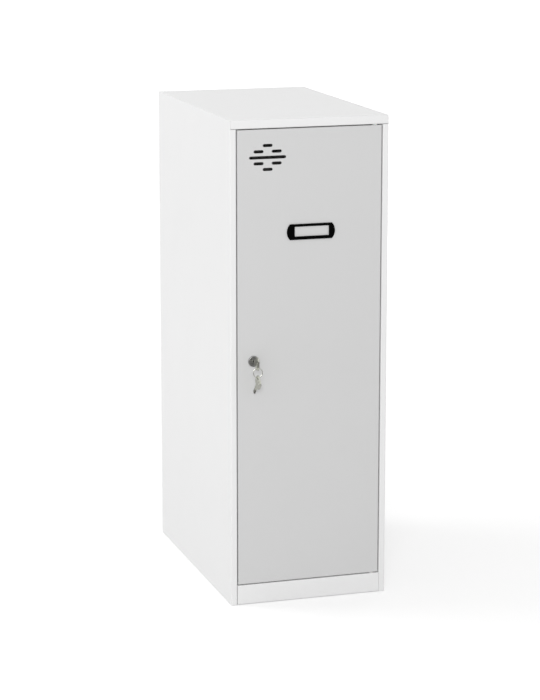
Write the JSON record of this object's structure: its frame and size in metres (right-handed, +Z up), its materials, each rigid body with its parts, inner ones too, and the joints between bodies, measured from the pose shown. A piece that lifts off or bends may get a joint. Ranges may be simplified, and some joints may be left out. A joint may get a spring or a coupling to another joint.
{
  "type": "clothes locker",
  "caption": "Upright steel clothes locker with a flush hinged door, vent slots, a card frame, a cam lock with keys on a ring, an inner shelf and a hanging rail.",
  "frame": {"origin": "on the floor, under the middle of the box round the whole locker with its keys", "axes": "+Z up, -Y out of the door, +X to the right as seen from in front"},
  "size_m": [0.3, 0.5418, 0.9],
  "materials": {
    "body_white": "satin powder coat",
    "door_grey": "satin powder coat",
    "black_plastic": "fine texture",
    "lock_metal": "dark satin plate",
    "key_nickel": "bright nickel plate",
    "zinc_steel": "zinc plate",
    "rubber": "matt",
    "nylon": "moulded"
  },
  "bodies": {
    "carcass": {"side_panel_left": "body_white", "side_panel_right": "body_white", "top_panel": "body_white", "floor_panel": "body_white", "back_panel": "body_white", "kick_plate": "body_white", "hinge_bush_top": "nylon", "hinge_bush_bottom": "nylon", "hat_shelf": "body_white", "shelf_support_left": "body_white", "shelf_support_right": "body_white", "hanging_rail": "zinc_steel", "rail_cradle_left": "zinc_steel", "rail_cradle_right": "zinc_steel", "door_bumper_low": "rubber", "door_bumper_middle": "rubber", "door_bumper_high": "rubber"},
    "door": {"door_panel": "door_grey", "door_stiffener": "door_grey", "card_frame": "black_plastic", "lock_housing": "lock_metal", "lock_nut": "zinc_steel", "pivot_bracket_top": "zinc_steel", "pivot_bracket_bottom": "zinc_steel", "hinge_pin_top": "zinc_steel", "hinge_pin_bottom": "zinc_steel"},
    "lock_core": {"lock_plug": "lock_metal", "lock_cam": "zinc_steel", "lock_washer": "zinc_steel", "cam_bolt": "zinc_steel"},
    "key": {"key": "key_nickel"},
    "key_ring": {"key_ring": "key_nickel"},
    "spare_key": {"spare_key": "key_nickel"}
  },
  "joints": [
    {"name": "door_hinge", "type": "hinge", "parent": "carcass", "child": "door", "pos_m": [0.1247, -0.22262, 0.4605], "axis": [0, 0, 1], "range_deg": [0, 110]},
    {"name": "lock_turn", "type": "hinge", "parent": "door", "child": "lock_core", "pos_m": [-0.1067, -0.22912, 0.4605], "axis": [0, 1, 0], "range_deg": [0, 90]},
    {"name": "key_slide", "type": "slide", "parent": "lock_core", "child": "key", "axis": [0, -1, 0], "range_m": [0, 0.02]},
    {"name": "ring_swing", "type": "hinge", "parent": "key", "child": "key_ring", "pos_m": [-0.1067, -0.25612, 0.45305], "axis": [1, 0, 0], "range_deg": [-80, 6]},
    {"name": "spare_key_swing", "type": "hinge", "parent": "key_ring", "child": "spare_key", "pos_m": [-0.1067, -0.25612, 0.43615], "axis": [0.9976, 0.0698, 0], "range_deg": [-75, 10]}
  ]
}
